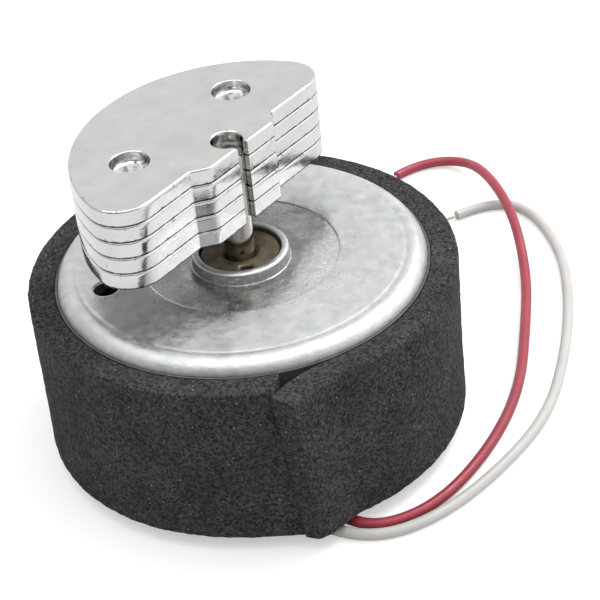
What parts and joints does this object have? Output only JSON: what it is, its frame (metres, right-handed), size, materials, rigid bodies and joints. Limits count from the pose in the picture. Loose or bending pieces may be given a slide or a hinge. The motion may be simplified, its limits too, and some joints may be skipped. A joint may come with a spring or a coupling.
{
  "type": "vibration motor",
  "caption": "Round flat DC motor in a dark foam wrap, with an eccentric half-disc plate weight on its shaft and red and white wire leads.",
  "frame": {"origin": "centre of the closed rear boss, the face that the motor stands on, on the shaft axis", "axes": "+Z along the shaft from the rear boss to the eccentric weight; +X to the right and +Y away in the usual front view"},
  "size_m": [0.0378, 0.0457, 0.022],
  "materials": {
    "zinc_plated_can": "satin",
    "white_nylon": "matte",
    "sintered_bronze": "satin",
    "spring_steel": "satin",
    "ferrite": "matte",
    "terminal_brass": "satin",
    "brush_leaf": "satin",
    "solder": "satin",
    "tape": "matte",
    "charcoal_foam": "matte",
    "red_insulation": "satin",
    "white_insulation": "satin",
    "tinned_wire": "satin",
    "ground_steel": "polished",
    "core_steel": "satin",
    "insulator_plastic": "matte",
    "hub_plastic": "matte",
    "commutator_copper": "polished",
    "washer_plastic": "matte",
    "spacer_brass": "satin",
    "enamelled_copper": "gloss",
    "plated_weight": "satin"
  },
  "bodies": {
    "stator": {"motor_can": "zinc_plated_can", "end_bell": "white_nylon", "front_bearing": "sintered_bronze", "rear_bearing": "sintered_bronze", "thrust_plate": "spring_steel", "magnet_north": "ferrite", "magnet_south": "ferrite", "magnet_clip": "spring_steel", "positive_terminal": "terminal_brass", "negative_terminal": "terminal_brass", "positive_brush": "brush_leaf", "negative_brush": "brush_leaf", "positive_solder_joint": "solder", "negative_solder_joint": "solder", "adhesive_tape": "tape", "foam_wrap": "charcoal_foam", "red_lead": "red_insulation", "white_lead": "white_insulation", "red_lead_tip": "tinned_wire", "white_lead_tip": "tinned_wire", "red_lead_root": "tinned_wire", "white_lead_root": "tinned_wire"},
    "rotor": {"shaft": "ground_steel", "armature_laminations": "core_steel", "front_insulator": "insulator_plastic", "rear_insulator": "insulator_plastic", "commutator_hub": "hub_plastic", "commutator_segments": "commutator_copper", "rear_washer": "washer_plastic", "front_washer": "washer_plastic", "front_spacer": "spacer_brass", "winding_1": "enamelled_copper", "winding_2": "enamelled_copper", "winding_3": "enamelled_copper", "weight_plate_1": "plated_weight", "weight_plate_2": "plated_weight", "weight_plate_3": "plated_weight", "weight_plate_4": "plated_weight", "weight_plate_5": "plated_weight"}
  },
  "joints": [
    {"name": "rotor_spin", "type": "hinge", "parent": "stator", "child": "rotor", "pos_m": [0, 0, 0.0133], "axis": [0, 0, 1], "continuous": true}
  ]
}
